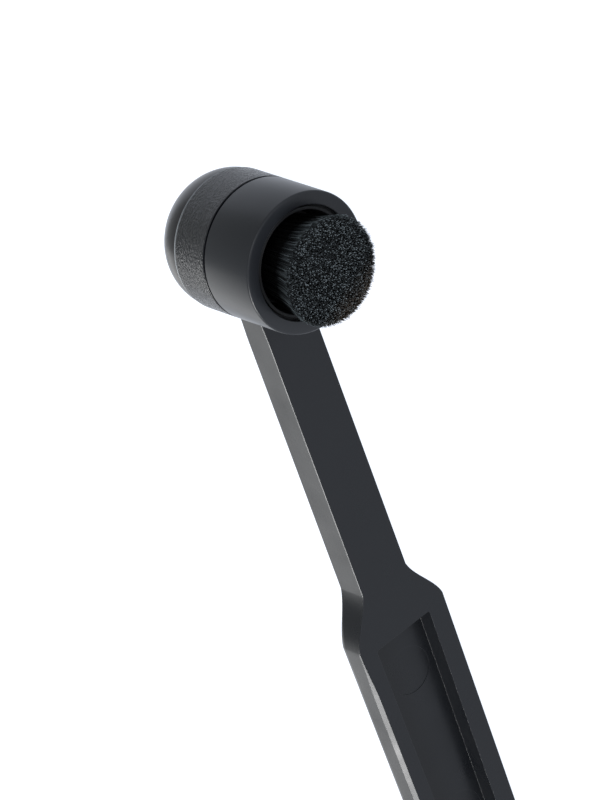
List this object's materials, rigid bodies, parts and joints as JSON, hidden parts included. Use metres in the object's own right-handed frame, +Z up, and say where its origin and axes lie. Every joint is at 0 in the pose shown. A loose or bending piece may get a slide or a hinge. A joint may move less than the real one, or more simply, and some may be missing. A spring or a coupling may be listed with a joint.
{
  "type": "lens cleaning pen",
  "caption": "Lens cleaning pen with a round flat-cut brush in a sliding guard, a domed cap over a cleaning tip, and a flat handle with a pocketed grip and a hang hole.",
  "frame": {"origin": "on the desk under the middle of the pen as it lies on its side", "axes": "+X from the end of the grip to the head, -Y the way the brush points, +Z up across the handle's width"},
  "size_m": [0.128, 0.03, 0.02],
  "materials": {
    "handle_plastic": "satin moulded, fine grain on the head ring",
    "guard_plastic": "satin to semi-gloss moulded",
    "cap_plastic": "smooth satin moulded",
    "inner_plastic": "plain moulded",
    "tube_metal": "black anodised",
    "bright_steel": "plain",
    "seal_rubber": "smooth",
    "bristle": "dense flat-cut filaments",
    "glue": "cured resin",
    "tip_suede": "suede loaded with carbon",
    "foam": "fine foam"
  },
  "bodies": {
    "handle_body": {"handle": "handle_plastic", "guide_tube": "tube_metal", "stop_ring": "bright_steel", "brush_ferrule": "tube_metal", "tuft_glue": "glue", "bristle_tuft": "bristle", "centre_screw": "bright_steel", "screw_washer": "bright_steel", "friction_ring": "seal_rubber", "pad_holder": "inner_plastic", "tip_cushion": "foam", "tip_pad": "tip_suede"},
    "guard_body": {"guard": "guard_plastic", "guard_collar": "inner_plastic", "detent_ring": "seal_rubber"},
    "cap_body": {"dome_cap": "cap_plastic", "cap_liner": "inner_plastic", "carbon_sponge": "foam"}
  },
  "joints": [
    {"name": "guard_slide", "type": "slide", "parent": "handle_body", "child": "guard_body", "axis": [0, -1, 0], "range_m": [0, 0.006]},
    {"name": "cap_pull", "type": "slide", "parent": "handle_body", "child": "cap_body", "axis": [0, 1, 0], "range_m": [0, 0.012]}
  ]
}
